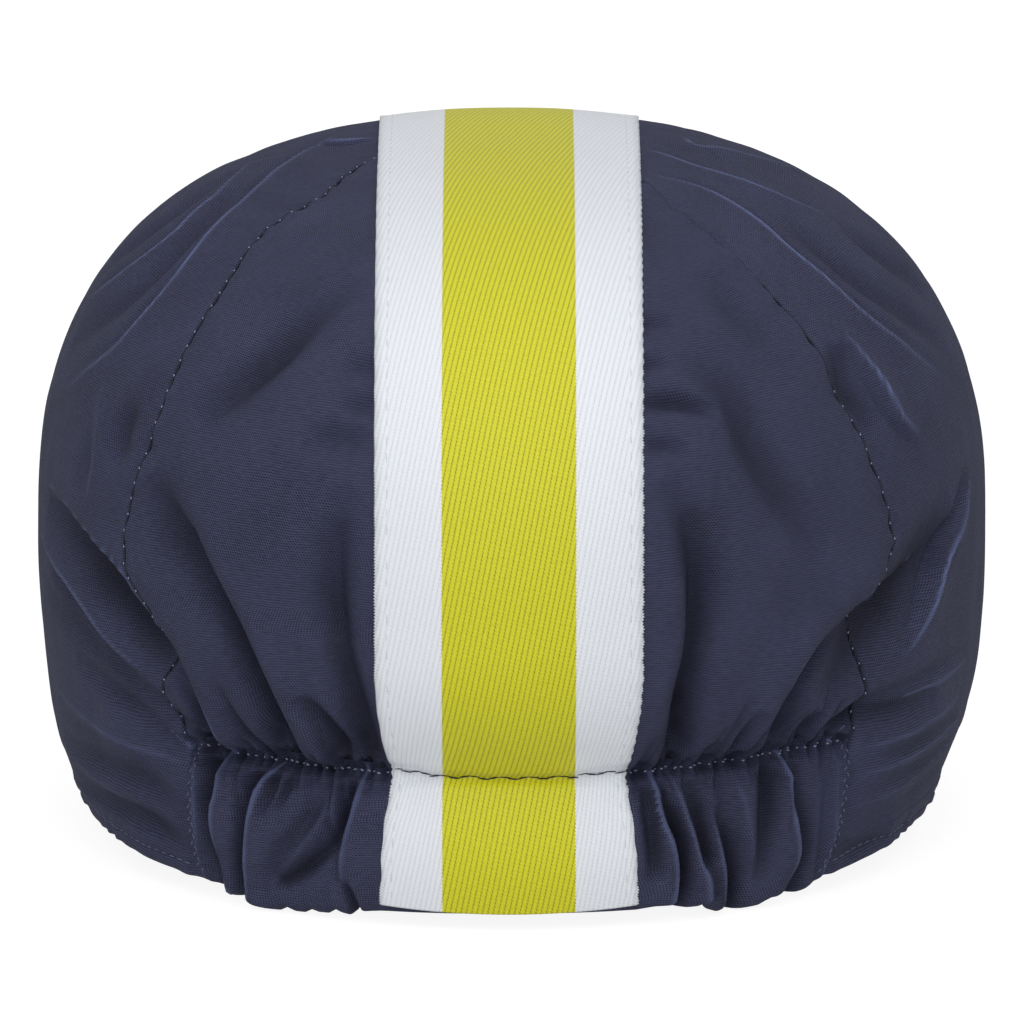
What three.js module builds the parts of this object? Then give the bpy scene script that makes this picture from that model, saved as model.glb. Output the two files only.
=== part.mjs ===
// A cycling cap: a four-panel crown of thin navy cloth with a gathered elastic casing at the back, a striped
// woven tape over the middle from hem to hem, and a short cloth-covered peak.
// Millimetres. X runs to the wearer's right, Y forwards to the peak, Z up. Azimuth is measured round the crown
// from the back (0), by the right side (90), to the front (180); the left side is negative.
import * as THREE from "three";

const { clamp, degToRad, lerp, smoothstep } = THREE.MathUtils;

// Crown
const HEM_WIDTH = 167; // head opening, side to side
const HEM_LENGTH = 198; // head opening, back to front
const CROWN_HEIGHT = 133.5;
const WAIST_HEIGHT = 60; // height at which the crown is widest
const BACK_BULGE = 12.9; // how far the waist stands out past the hem
const SIDE_BULGE = 7.9;
const FRONT_BULGE = 5;
const SHOULDER_POWER = 2.8; // superellipse powers of the dome above the waist: across and up
const TOP_POWER = 2.45;
const CLOTH = 1.2;
const SEAM_GAP = 0.3; // between cloth edges that are sewn together
const TIP_RADIUS = 1.5; // where the four panels meet under the tape

// Elastic casing
const CASING_HEIGHT = 26;
const CASING_DEPTH = 3; // two cloths and the elastic between them
const CASING_SWELL = 2.5; // how far its middle stands out past its sewn edges
const PINCH_START = 40; // azimuths between which the pinch above the casing fades out
const PINCH_END = 58;

// Tape
const TAPE_WIDTH = 50;
const TAPE_THICKNESS = 1;
const TAPE_GAP = 0.5; // between the tape and the panels
const LIME_WIDTH = 25; // middle stripe
const TAPE_CLEAR = 3; // cloth beside the tape that stays free of folds

// Peak
const PEAK_LENGTH = 58; // seam to edge, at the middle
const PEAK_THICKNESS = 2.4;
const PEAK_HALF_ANGLE = 52; // azimuth from the front that the peak's seam reaches
const PEAK_FAN = 34; // direction of the peak's corners, away from straight ahead
const PEAK_CORNER = 7; // seam to edge, at each corner
const PEAK_EDGE_LIFT = 9; // the middle of the peak's edge above what its sides rest on
const PEAK_ARCH = 2; // how far the peak is crowned between its seam and its edge

// Hem above the surface that the cap stands on, as shares of HEM_LIFT
const HEM_LIFT = 17;
const HEM_LIFTS = [
  { azimuth: 0, lift: 0.2 },
  { azimuth: 17, lift: 0.18 },
  { azimuth: 24, lift: 0.12 },
  { azimuth: 30, lift: 0 },
  { azimuth: 36, lift: 0 },
  { azimuth: 44, lift: 0.2 },
  { azimuth: 60, lift: 0.33 },
  { azimuth: 90, lift: 0.28 },
  { azimuth: 120, lift: 0.45 },
  { azimuth: 150, lift: 0.82 },
  { azimuth: 180, lift: 1 },
];

// Seam between the back and side panels, by height as a share of CROWN_HEIGHT
const SEAM_AZIMUTHS = [
  { rise: 0, azimuth: 44 },
  { rise: 0.22, azimuth: 47 },
  { rise: 0.36, azimuth: 47.5 },
  { rise: 0.55, azimuth: 52.5 },
  { rise: 0.75, azimuth: 48.5 },
  { rise: 1, azimuth: 48 },
];

// Width of the tape at the back, as shares of TAPE_WIDTH, by height as a share of the casing's top edge
const TAPE_WIDTHS = [
  { rise: 0, width: 0.965 },
  { rise: 0.5, width: 0.95 },
  { rise: 1, width: 0.885 },
  { rise: 1.25, width: 0.965 },
  { rise: 1.7, width: 1 },
];

// Folds of the crown. A place is [azimuth, rise], the rise a share of CROWN_HEIGHT; height and width are shares
// of FOLD_HEIGHT and FOLD_WIDTH, and a negative height is a hollow.
const FOLD_HEIGHT = 3;
const FOLD_WIDTH = 7;
const CROWN_FOLDS = [
  // left back panel, fanning up from the casing
  { from: [-40, 0.23], via: [-44, 0.38], to: [-52, 0.5], height: 0.8, width: 0.7 },
  { from: [-31, 0.23], via: [-36, 0.34], to: [-45, 0.57], height: -1, width: 1 },
  { from: [-26, 0.23], via: [-30, 0.33], to: [-36, 0.46], height: 0.8, width: 0.8 },
  { from: [-17, 0.24], via: [-19, 0.42], to: [-21, 0.62], height: -0.6, width: 0.9 },
  { from: [-39, 0.73], via: [-33, 0.8], to: [-28, 0.88], height: -0.4, width: 1.6 },
  // left side panel
  { from: [-45, 0.24], via: [-58, 0.35], to: [-77, 0.45], height: 0.9, width: 0.9 },
  { from: [-47, 0.3], via: [-56, 0.42], to: [-64, 0.56], height: -0.7, width: 0.8 },
  { from: [-48, 0.15], via: [-58, 0.18], to: [-78, 0.2], height: 0.5, width: 0.9 },
  { from: [-98, 0.97], via: [-64, 0.85], to: [-78, 0.65], height: 0.4, width: 0.8 },
  { from: [-80, 0.93], via: [-74, 0.84], to: [-90, 0.74], height: 0.35, width: 0.8 },
  { from: [-100, 0.3], via: [-118, 0.42], to: [-132, 0.36], height: 0.4, width: 1.6 },
  // right back panel
  { from: [20, 0.25], via: [21, 0.42], to: [24, 0.58], height: -0.9, width: 0.9 },
  { from: [25, 0.24], via: [27, 0.36], to: [33, 0.5], height: 0.5, width: 1.1 },
  { from: [35, 0.23], via: [37, 0.35], to: [53, 0.47], height: 0.9, width: 0.8 },
  { from: [40, 0.24], via: [44, 0.32], to: [58, 0.42], height: -1, width: 0.9 },
  { from: [31, 0.76], via: [33, 0.7], to: [36, 0.62], height: -0.35, width: 1.4 },
  // right side panel
  { from: [56, 0.33], via: [66, 0.45], to: [78, 0.54], height: 0.9, width: 0.7 },
  { from: [44, 0.21], via: [54, 0.27], to: [66, 0.34], height: 0.7, width: 0.7 },
  { from: [50, 0.21], via: [60, 0.24], to: [76, 0.27], height: 0.5, width: 0.7 },
  { from: [48, 0.97], via: [56, 0.87], to: [76, 0.67], height: 0.4, width: 0.8 },
  { from: [56, 0.8], via: [59, 0.7], to: [61, 0.62], height: 0.35, width: 0.8 },
  { from: [92, 0.15], via: [90, 0.45], to: [94, 0.75], height: 0.45, width: 3.6 },
  { from: [104, 0.32], via: [118, 0.4], to: [130, 0.34], height: 0.4, width: 1.6 },
];

// Gathers of the casing, each from its top edge to its hem: azimuths, and shares of GATHER_HEIGHT and
// GATHER_WIDTH
const GATHER_HEIGHT = 3;
const GATHER_WIDTH = 4;
const GATHERS = [
  { top: -43.5, bottom: -41, height: 0.3, width: 0.6 },
  { top: -40, bottom: -38.5, height: 0.8, width: 0.7 },
  { top: -34, bottom: -34, height: 1, width: 0.9 },
  { top: -28, bottom: -30, height: 0.6, width: 0.8 },
  { top: -22.5, bottom: -27, height: 0.8, width: 0.7 },
  { top: -18.5, bottom: -20, height: 0.8, width: 0.7 },
  { top: 18.5, bottom: 20, height: 0.8, width: 0.7 },
  { top: 22, bottom: 25, height: 0.9, width: 0.8 },
  { top: 27, bottom: 28.5, height: 0.6, width: 0.7 },
  { top: 31, bottom: 32.5, height: 0.9, width: 0.9 },
  { top: 38.5, bottom: 38, height: 0.9, width: 0.9 },
  { top: 44, bottom: 43, height: 0.3, width: 0.6 },
];

const HALF_WIDTH = HEM_WIDTH / 2;
const HALF_LENGTH = HEM_LENGTH / 2;
const DOME_HEIGHT = CROWN_HEIGHT - WAIST_HEIGHT;

// A smooth curve through one column of a table, read by another column.
function tableCurve(rows, key, column) {
  const places = rows.map((row) => row[key]);
  const values = rows.map((row) => row[column]);
  const curve = new THREE.CubicInterpolant(places, values, 1, new Float32Array(1));
  return (place) => curve.evaluate(clamp(place, places[0], places.at(-1)))[0];
}

const hemLiftShare = tableCurve(HEM_LIFTS, "azimuth", "lift");
const seamDegrees = tableCurve(SEAM_AZIMUTHS, "rise", "azimuth");
const tapeWidthShare = tableCurve(TAPE_WIDTHS, "rise", "width");

function hemHeight(azimuth) {
  const fromBack = Math.acos(Math.cos(azimuth));
  return HEM_LIFT * Math.max(0, hemLiftShare(THREE.MathUtils.radToDeg(fromBack)));
}

const CASING_TOP = hemHeight(0) + CASING_HEIGHT;

function seamAzimuth(z) {
  return degToRad(seamDegrees(z / CROWN_HEIGHT));
}

// How far the crown stands out at an azimuth and height, as a share of the hem's own reach there.
function crownReach(azimuth, z) {
  const across = Math.sin(azimuth) ** 2;
  const along = Math.cos(azimuth) ** 2;
  const lengthBulge = Math.cos(azimuth) > 0 ? BACK_BULGE : FRONT_BULGE;
  const bulge = (SIDE_BULGE / HALF_WIDTH) * across + (lengthBulge / HALF_LENGTH) * along;
  if (z > WAIST_HEIGHT) {
    const rise = Math.min(1, (z - WAIST_HEIGHT) / DOME_HEIGHT);
    return (1 + bulge) * (1 - rise ** TOP_POWER) ** (1 / SHOULDER_POWER);
  }
  const sideReach = 1 + bulge * (1 - (1 - Math.max(0, z) / WAIST_HEIGHT) ** 2.4);
  const overCasing = (z - CASING_TOP) / (WAIST_HEIGHT - CASING_TOP);
  const swell = (CASING_SWELL / HALF_LENGTH) * Math.sin(Math.PI * clamp(z / CASING_TOP, 0, 1));
  const backReach = overCasing > 0 ? 1 + bulge * (1 - (1 - overCasing) ** 2.6) : 1 + swell;
  const fade = smoothstep(Math.abs(azimuth), degToRad(PINCH_START), degToRad(PINCH_END));
  return lerp(backReach, sideReach, fade);
}

function crownPoint(azimuth, z) {
  const reach = crownReach(azimuth, z);
  return new THREE.Vector3(
    reach * HALF_WIDTH * Math.sin(azimuth),
    -reach * HALF_LENGTH * Math.cos(azimuth),
    z,
  );
}

// Below zero inside the crown, above zero outside it.
function crownLevel(x, y, z) {
  const azimuth = Math.atan2(x / HALF_WIDTH, -y / HALF_LENGTH);
  return Math.hypot(x / HALF_WIDTH, y / HALF_LENGTH) - crownReach(azimuth, z);
}

function crownNormal({ x, y, z }) {
  const step = 0.4;
  return new THREE.Vector3(
    crownLevel(x + step, y, z) - crownLevel(x - step, y, z),
    crownLevel(x, y + step, z) - crownLevel(x, y - step, z),
    crownLevel(x, y, z + step) - crownLevel(x, y, z - step),
  ).normalize();
}

// Straight out from the hem oval, level with the ground.
function levelNormal(azimuth) {
  return new THREE.Vector3(Math.sin(azimuth) / HALF_WIDTH, -Math.cos(azimuth) / HALF_LENGTH, 0).normalize();
}

// The angle that a length round the crown takes up at a place on it.
function angleOf(length, azimuth, z) {
  const { x, y } = crownPoint(azimuth, z);
  return length / Math.max(Math.hypot(x, y), length);
}

// A fold as a path on the crown, with its height and its half width there.
function foldPath(places, height, width) {
  const flat = places.map(([azimuth, rise]) => new THREE.Vector2(azimuth, rise));
  const path = new THREE.SplineCurve(flat).getPoints(10);
  const points = path.map(({ x, y }) => crownPoint(degToRad(x), y * CROWN_HEIGHT));
  return { points, height, width };
}

const crownFolds = CROWN_FOLDS.map(({ from, via, to, height, width }) =>
  foldPath([from, via, to], height * FOLD_HEIGHT, width * FOLD_WIDTH),
);
const casingRise = CASING_TOP / CROWN_HEIGHT;
const gathers = GATHERS.map(({ top, bottom, height, width }) =>
  foldPath([[top, casingRise], [bottom, 0]], height * GATHER_HEIGHT, width * GATHER_WIDTH),
);

// How far the folds lift the cloth at a point: a rounded ridge along each path, dying out at both its ends.
function foldLift(point, folds, endLift) {
  const nearest = new THREE.Vector3();
  let lift = 0;
  for (const { points, height, width } of folds) {
    let closest = Infinity;
    let share = 0;
    for (let i = 1; i < points.length; i++) {
      const line = new THREE.Line3(points[i - 1], points[i]);
      const along = line.closestPointToPointParameter(point, true);
      const distance = line.at(along, nearest).distanceTo(point);
      if (distance < closest) {
        closest = distance;
        share = (i - 1 + along) / (points.length - 1);
      }
    }
    lift += height * lerp(Math.sin(Math.PI * share), 1, endLift) * Math.exp(-((closest / width) ** 2));
  }
  return lift * smoothstep(Math.abs(point.x), TAPE_WIDTH / 2, TAPE_WIDTH / 2 + TAPE_CLEAR);
}

// A closed wall between an outer and an inner face, each a grid that placeAt(u, v, side) gives, with u and v
// from the two lists and side 0 outside and 1 inside.
function wall(us, vs, placeAt) {
  const positions = [];
  const index = [];
  const across = us.length;
  const faceSize = across * vs.length;
  const vertex = (i, j, side) => side * faceSize + j * across + i;
  for (const side of [0, 1])
    for (const v of vs) for (const u of us) positions.push(...placeAt(u, v, side).toArray());
  const quad = (a, b, c, d) => index.push(a, b, c, a, c, d);
  for (let j = 0; j + 1 < vs.length; j++) {
    for (let i = 0; i + 1 < across; i++) {
      quad(vertex(i, j, 0), vertex(i + 1, j, 0), vertex(i + 1, j + 1, 0), vertex(i, j + 1, 0));
      quad(vertex(i, j, 1), vertex(i, j + 1, 1), vertex(i + 1, j + 1, 1), vertex(i + 1, j, 1));
    }
    const last = across - 1;
    quad(vertex(0, j, 0), vertex(0, j + 1, 0), vertex(0, j + 1, 1), vertex(0, j, 1));
    quad(vertex(last, j, 0), vertex(last, j, 1), vertex(last, j + 1, 1), vertex(last, j + 1, 0));
  }
  for (let i = 0; i + 1 < across; i++) {
    const top = vs.length - 1;
    quad(vertex(i, 0, 0), vertex(i, 0, 1), vertex(i + 1, 0, 1), vertex(i + 1, 0, 0));
    quad(vertex(i, top, 0), vertex(i + 1, top, 0), vertex(i + 1, top, 1), vertex(i, top, 1));
  }
  const geometry = new THREE.BufferGeometry();
  geometry.setAttribute("position", new THREE.Float32BufferAttribute(positions, 3));
  geometry.setIndex(index);
  geometry.computeVertexNormals();
  return geometry;
}

// count + 1 even steps from 0 to 1, crowded towards 0 by a power above 1.
function steps(count, power = 1) {
  return Array.from({ length: count + 1 }, (_, i) => (i / count) ** power);
}

// Heights up a meridian from the casing's top edge to the panels' tip, a row of mesh at each.
const CROWN_ROWS = 19;
const ROWS_BELOW_WAIST = 6;
const TIP_ANGLE = Math.acos((TIP_RADIUS / HALF_WIDTH) ** (SHOULDER_POWER / 2));
const crownHeights = steps(CROWN_ROWS).map((_, row) => {
  if (row < ROWS_BELOW_WAIST) return lerp(CASING_TOP + SEAM_GAP / 2, WAIST_HEIGHT, row / ROWS_BELOW_WAIST);
  const angle = (TIP_ANGLE * (row - ROWS_BELOW_WAIST)) / (CROWN_ROWS - ROWS_BELOW_WAIST);
  return WAIST_HEIGHT + DOME_HEIGHT * Math.sin(angle) ** (2 / TOP_POWER);
});

// One cloth panel of the crown, on the right (hand 1) or left (hand -1). edgesAt(z) gives the azimuths of its
// two edges, and heightsAt(azimuth) the heights of its rows.
function crownPanel(hand, us, rowCount, edgesAt, heightsAt) {
  const rows = Array.from({ length: rowCount }, (_, row) => row);
  // The left-hand panel is built from its far edge so that its faces still point outwards.
  const ordered = hand > 0 ? us : [...us].reverse();
  return wall(ordered, rows, (u, row, side) => {
    const guess = heightsAt(lerp(...edgesAt(0), u))[row];
    const z = heightsAt(lerp(...edgesAt(guess), u))[row];
    const [near, far] = edgesAt(z);
    const azimuth = hand * lerp(near + angleOf(SEAM_GAP / 2, near, z), far - angleOf(SEAM_GAP / 2, far, z), u);
    const point = crownPoint(azimuth, z);
    const lift = foldLift(point, crownFolds, 0);
    return point.addScaledVector(crownNormal(point), lift - side * CLOTH);
  });
}

function backPanel(hand) {
  const edges = (z) => [0, seamAzimuth(z)];
  return crownPanel(hand, steps(20), crownHeights.length, edges, () => crownHeights);
}

// The side panel reaches down past the casing's end to the hem, and forwards to the front of the crown.
function sidePanel(hand) {
  const edges = (z) => [seamAzimuth(z), Math.PI];
  const rowsToHem = 3;
  const heights = (azimuth) => {
    const low = hemHeight(azimuth);
    const hemRows = steps(rowsToHem).slice(0, -1).map((v) => lerp(low, crownHeights[0], v));
    return [...hemRows, ...crownHeights];
  };
  return crownPanel(hand, steps(22, 1.3), rowsToHem + crownHeights.length, edges, heights);
}

// The gathered casing, in one length from side panel to side panel, passing behind the tape.
function elasticCasing() {
  const top = CASING_TOP - SEAM_GAP / 2;
  return wall(steps(64), steps(5), (u, v, side) => {
    const end = (z) => seamAzimuth(z) - angleOf(SEAM_GAP, seamAzimuth(z), z);
    const azimuth = lerp(-1, 1, u) * end(top * v);
    const z = lerp(hemHeight(azimuth), top, v);
    const point = crownPoint(azimuth, z);
    const lift = foldLift(point, gathers, 0.55) * Math.sin(Math.PI * lerp(0.12, 0.88, v));
    return point.addScaledVector(levelNormal(azimuth), side ? -CASING_DEPTH : lift);
  });
}

// The crown's surface beside a point of its middle line, at x, found by closing in along that line's normal.
function besideMiddle(middle, normal, x) {
  let inside = -HALF_WIDTH / 2;
  let outside = TAPE_WIDTH / 10;
  const at = (distance) => middle.clone().addScaledVector(normal, distance).setX(x);
  for (let i = 0; i < 40; i++) {
    const half = (inside + outside) / 2;
    if (crownLevel(...at(half).toArray()) < 0) inside = half;
    else outside = half;
  }
  return at(inside);
}

// The middle line of the tape: heights up the back, over the top and down the front.
function tapeMiddleLine() {
  const back = [
    ...steps(4).map((v) => lerp(hemHeight(0), CASING_TOP, v)),
    ...steps(4).slice(1).map((v) => lerp(CASING_TOP, WAIST_HEIGHT, v)),
  ].map((z) => ({ azimuth: 0, z }));
  const dome = steps(14)
    .slice(1, -1)
    .map((v) => WAIST_HEIGHT + DOME_HEIGHT * Math.sin((v * Math.PI) / 2) ** (2 / TOP_POWER));
  const front = steps(5).map((v) => lerp(hemHeight(Math.PI), WAIST_HEIGHT, v));
  return [
    ...back,
    ...dome.map((z) => ({ azimuth: 0, z })),
    { azimuth: 0, z: CROWN_HEIGHT },
    ...[...dome].reverse().map((z) => ({ azimuth: Math.PI, z })),
    ...[...front].reverse().map((z) => ({ azimuth: Math.PI, z })),
  ];
}

function tape() {
  const line = tapeMiddleLine();
  const lime = LIME_WIDTH / TAPE_WIDTH;
  const columns = [-1, -(1 + lime) / 2, -lime, -lime / 2, 0, lime / 2, lime, (1 + lime) / 2, 1];
  const rows = line.map((_, i) => i);
  return wall(columns, rows, (u, row, side) => {
    const { azimuth, z } = line[row];
    const middle = crownPoint(azimuth, z);
    const normal = z > WAIST_HEIGHT ? crownNormal(middle).setX(0).normalize() : levelNormal(azimuth).setX(0);
    const width = azimuth === 0 ? TAPE_WIDTH * tapeWidthShare(z / CASING_TOP) : TAPE_WIDTH;
    const point = besideMiddle(middle, normal, (u * width) / 2);
    return point.addScaledVector(crownNormal(point), TAPE_GAP + (side ? 0 : TAPE_THICKNESS));
  });
}

// The peak, from under the front hem to its edge. Its sides come down level with the lowest of the hem.
function peak() {
  return wall(steps(24).map((v) => 2 * v - 1), steps(6), (u, v, side) => {
    const azimuth = Math.PI - u * degToRad(PEAK_HALF_ANGLE);
    const seam = crownPoint(azimuth, hemHeight(azimuth)).addScaledVector(levelNormal(azimuth), -CLOTH);
    const heading = new THREE.Vector2(Math.sin(u * degToRad(PEAK_FAN)), Math.cos(u * degToRad(PEAK_FAN)));
    const length = CLOTH + lerp(PEAK_CORNER, PEAK_LENGTH, Math.sqrt(1 - Math.abs(u) ** 2.6));
    const top = seam.z - SEAM_GAP;
    const edge = PEAK_THICKNESS + PEAK_EDGE_LIFT * (1 - Math.min(1, Math.abs(u) * 1.3) ** 2);
    const z = lerp(top, edge, v) + PEAK_ARCH * Math.sin(Math.PI * v) * (1 - u * u);
    return new THREE.Vector3(
      seam.x + heading.x * length * v,
      seam.y + heading.y * length * v,
      z - side * PEAK_THICKNESS,
    );
  });
}

// Colours each triangle of the tape by the stripe that it lies in.
function paintStripes(geometry, middleColour, edgeColour) {
  const painted = geometry.toNonIndexed();
  const positions = painted.getAttribute("position");
  const colours = [];
  for (let i = 0; i < positions.count; i += 3) {
    const x = (positions.getX(i) + positions.getX(i + 1) + positions.getX(i + 2)) / 3;
    const colour = Math.abs(x) < LIME_WIDTH / 2 ? middleColour : edgeColour;
    for (let corner = 0; corner < 3; corner++) colours.push(...colour.toArray());
  }
  painted.setAttribute("color", new THREE.Float32BufferAttribute(colours, 3));
  return painted;
}

const navyCloth = () => new THREE.MeshStandardMaterial({ color: 0x3b3d52, roughness: 0.75, metalness: 0 });
const wovenTape = new THREE.MeshStandardMaterial({ vertexColors: true, roughness: 0.7, metalness: 0 });

function piece(name, geometry, material) {
  const mesh = new THREE.Mesh(geometry, material);
  mesh.name = name;
  return mesh;
}

const sewn = new THREE.Group();
for (const [name, hand] of [["left", -1], ["right", 1]]) {
  sewn.add(piece(`back_panel_${name}`, backPanel(hand), navyCloth()));
  sewn.add(piece(`side_panel_${name}`, sidePanel(hand), navyCloth()));
}
sewn.add(piece("elastic_casing", elasticCasing(), navyCloth()));
sewn.add(piece("peak", peak(), navyCloth()));
const stripes = paintStripes(tape(), new THREE.Color(0xcdc943), new THREE.Color(0xdfe3ea));
sewn.add(piece("tape", stripes, wovenTape));

// The cap stands on the ground with its outline centred over the origin.
const outline = new THREE.Box3().setFromObject(sewn);
const centre = outline.getCenter(new THREE.Vector3());
sewn.position.set(-centre.x, -centre.y, -outline.min.z);

const cap = new THREE.Group();
cap.add(sewn);

export default cap;
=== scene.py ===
import math

import bpy
import numpy as np
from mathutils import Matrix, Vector, noise


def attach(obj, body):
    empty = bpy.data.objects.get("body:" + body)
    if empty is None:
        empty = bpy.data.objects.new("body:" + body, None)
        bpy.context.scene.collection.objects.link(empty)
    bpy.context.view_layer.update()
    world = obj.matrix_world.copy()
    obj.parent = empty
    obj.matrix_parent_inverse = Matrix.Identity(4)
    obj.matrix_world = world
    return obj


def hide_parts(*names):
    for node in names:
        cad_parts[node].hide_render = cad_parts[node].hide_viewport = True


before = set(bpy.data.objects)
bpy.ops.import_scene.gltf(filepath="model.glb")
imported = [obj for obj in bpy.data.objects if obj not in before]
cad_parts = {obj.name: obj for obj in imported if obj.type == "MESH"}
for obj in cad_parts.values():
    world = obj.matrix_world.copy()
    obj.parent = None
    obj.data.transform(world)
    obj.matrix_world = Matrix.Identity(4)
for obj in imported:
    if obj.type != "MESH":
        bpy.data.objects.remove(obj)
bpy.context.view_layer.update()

# Camera.
# A long lens three metres behind the cap and twelve degrees above it, aimed at the middle of the crown's back.
# Lengths are in millimetres until to_metres, measured from the middle of the head opening.
OPENING_MIDDLE = np.array([-0.673, -23.176, 0.0])  # in the shared frame
CAMERA_DISTANCE = 3  # metres
CAMERA_ELEVATION = math.radians(12)


def to_metres(points):
    return (np.asarray(points, float) + OPENING_MIDDLE) / 1000


aim = Vector(to_metres([0.58, 0.0, 59.6]))
towards_camera = Vector((0, -math.cos(CAMERA_ELEVATION), math.sin(CAMERA_ELEVATION)))
bpy.ops.object.camera_add(location=aim + CAMERA_DISTANCE * towards_camera,
                          rotation=(math.pi / 2 - CAMERA_ELEVATION, 0, 0))
camera = bpy.context.object
camera.data.sensor_width = 36
camera.data.lens = 542.3
camera.data.clip_end = 60  # metres, past the floor's far edge
bpy.context.scene.camera = camera
bpy.context.scene.view_settings.view_transform = "Standard"


# Floor and light.
# The white opal top of a light table that runs out of sight, lit a little from below, under a white sky; the camera
# sees both whiter than the light they give. The key is a very wide soft lamp above the camera, so that folds darken
# where they close, and a weaker one hangs overhead.
def linear(hex_colour):
    parts = [int(hex_colour[i:i + 2], 16) / 255 for i in (1, 3, 5)]
    return [c / 12.92 if c <= 0.04045 else ((c + 0.055) / 1.055) ** 2.4 for c in parts] + [1.0]


def set_sockets(tree, node, **values):
    """Gives a node's sockets, by name or number, a number, a colour, a node or one of a node's outputs."""
    for key, value in values.items():
        socket = node.inputs[int(key[1:]) if key[1:].isdigit() else key.replace("_", " ")]
        if isinstance(value, bpy.types.Node):
            value = value.outputs[0]
        if isinstance(value, bpy.types.NodeSocket):
            tree.links.new(value, socket)
        else:
            socket.default_value = value
    return node


def add_node(tree, kind, **values):
    """A node with its settings, which are in small letters, and what its sockets get."""
    node = tree.nodes.new("ShaderNode" + kind)
    for key in [key for key in values if key.islower()]:
        setattr(node, key, values.pop(key))
    return set_sockets(tree, node, **values)


def new_material(name):
    material = bpy.data.materials.new(name)
    material.use_nodes = True
    tree = material.node_tree
    return material, tree, tree.nodes["Principled BSDF"]


bpy.ops.object.select_all(action="DESELECT")
bpy.ops.mesh.primitive_plane_add(size=24)
floor = bpy.context.object
floor.name = "floor"
opal, tree, opal_shader = new_material("white_opal_acrylic_matt")
OPAL_GLOW, OPAL_GLOW_MORE_TO_CAMERA = 0.35, 0.55
glow = add_node(tree, "Math", operation="MULTIPLY_ADD", _1=OPAL_GLOW_MORE_TO_CAMERA, _2=OPAL_GLOW,
                _0=add_node(tree, "LightPath"))
set_sockets(tree, opal_shader, Base_Color=linear("#7c7c7c"), Roughness=0.9, Specular_IOR_Level=0.1,
            Emission_Color=linear("#ffffff"), Emission_Strength=glow)
floor.data.materials.append(opal)

sky = bpy.data.worlds.new("studio")
bpy.context.scene.world = sky
sky.use_nodes = True
SKY_LIGHT, SKY_LIGHT_MORE_TO_CAMERA = 0.33, 0.67
seen = add_node(sky.node_tree, "Math", operation="MULTIPLY_ADD", _1=SKY_LIGHT_MORE_TO_CAMERA,
                _2=SKY_LIGHT, _0=add_node(sky.node_tree, "LightPath"))
set_sockets(sky.node_tree, sky.node_tree.nodes["Background"], Color=linear("#ffffff"), Strength=seen)
for name, towards, spread, strength in (  # spread in degrees
    ("key", (-0.06, -0.80, 0.60), 80, 1.62),
    ("top", (0.1, 0.05, 1.0), 60, 0.55),
):
    bpy.ops.object.light_add(type="SUN", location=aim + Vector(towards))
    lamp = bpy.context.object
    lamp.name = name
    lamp.data.angle = math.radians(spread)
    lamp.data.energy = strength
    lamp.rotation_euler = (-Vector(towards)).to_track_quat("-Z", "Y").to_euler()

# Back panels.
# The two panels of navy polyester poplin behind the side seams, cut as tall petals, sewn to the side panels and
# gathered onto the elastic casing below, which throws their cloth into folds that fan upwards.
HALF_WIDTH, HALF_LENGTH = 83.5, 99.0  # of the head opening
CROWN_HEIGHT, WAIST_HEIGHT = 133.5, 60.0
SIDE_BULGE, BACK_BULGE, FRONT_BULGE = 0.0946, 0.1303, 0.0505  # at the waist, as shares of the head opening
CASING_BULGE = 0.0253
DOME_UP, DOME_OUT = 2.45, 2.8  # powers of the dome's outline: the higher, the squarer its shoulders
SIDE_FLARE, BACK_FLARE = 2.4, 2.6  # powers: the higher, the sooner the cloth swells out above the hem or the casing
BACK_ENDS = math.radians(40), math.radians(58)  # azimuths between which the back's shape passes into the side's
CASING_TOP = 29.4
TAPE_WIDTH = 50.0
CLOTH = 0.5


def smooth(value, low, high):
    share = np.clip((value - low) / (high - low), 0, 1)
    return share * share * (3 - 2 * share)


def crown_reach(azimuth, z):
    """How far the crown stands out, as a share of the head opening; azimuth 0 is the back, pi / 2 the right."""
    cos, sin = np.cos(azimuth), np.sin(azimuth)
    bulge = SIDE_BULGE * sin ** 2 + np.where(cos > 0, BACK_BULGE, FRONT_BULGE) * cos ** 2
    up = np.clip((z - WAIST_HEIGHT) / (CROWN_HEIGHT - WAIST_HEIGHT), 0, 1)
    dome = (1 + bulge) * (1 - up ** DOME_UP) ** (1 / DOME_OUT)
    side = 1 + bulge * (1 - (1 - np.clip(z / WAIST_HEIGHT, 0, 1)) ** SIDE_FLARE)
    over = np.clip((z - CASING_TOP) / (WAIST_HEIGHT - CASING_TOP), 0, 1)
    swell = CASING_BULGE * np.sin(np.pi * np.clip(z / CASING_TOP, 0, 1))
    back = np.where(over > 0, 1 + bulge * (1 - (1 - over) ** BACK_FLARE), 1 + swell)
    pinch = 1 - smooth(np.abs(azimuth), *BACK_ENDS)
    return np.where(z > WAIST_HEIGHT, dome, side + (back - side) * pinch)


def crown_point(azimuth, z):
    reach = crown_reach(azimuth, z)
    return np.stack([reach * HALF_WIDTH * np.sin(azimuth), -reach * HALF_LENGTH * np.cos(azimuth), z + 0 * reach], -1)


def crown_level(p):
    """Below 0 inside the crown's surface, 0 on it, above 0 outside."""
    x, y, z = p[..., 0] / HALF_WIDTH, p[..., 1] / HALF_LENGTH, p[..., 2]
    return np.hypot(x, y) - crown_reach(np.arctan2(x, -y), z)


def unit(vectors):
    return vectors / np.linalg.norm(vectors, axis=-1, keepdims=True)


def crown_normal(p):
    """The way out of the crown's surface, from how its level changes 0.4 mm to each side."""
    step = 0.4 * np.eye(3)
    return unit(np.stack([crown_level(p + s) - crown_level(p - s) for s in step], -1))


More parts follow.
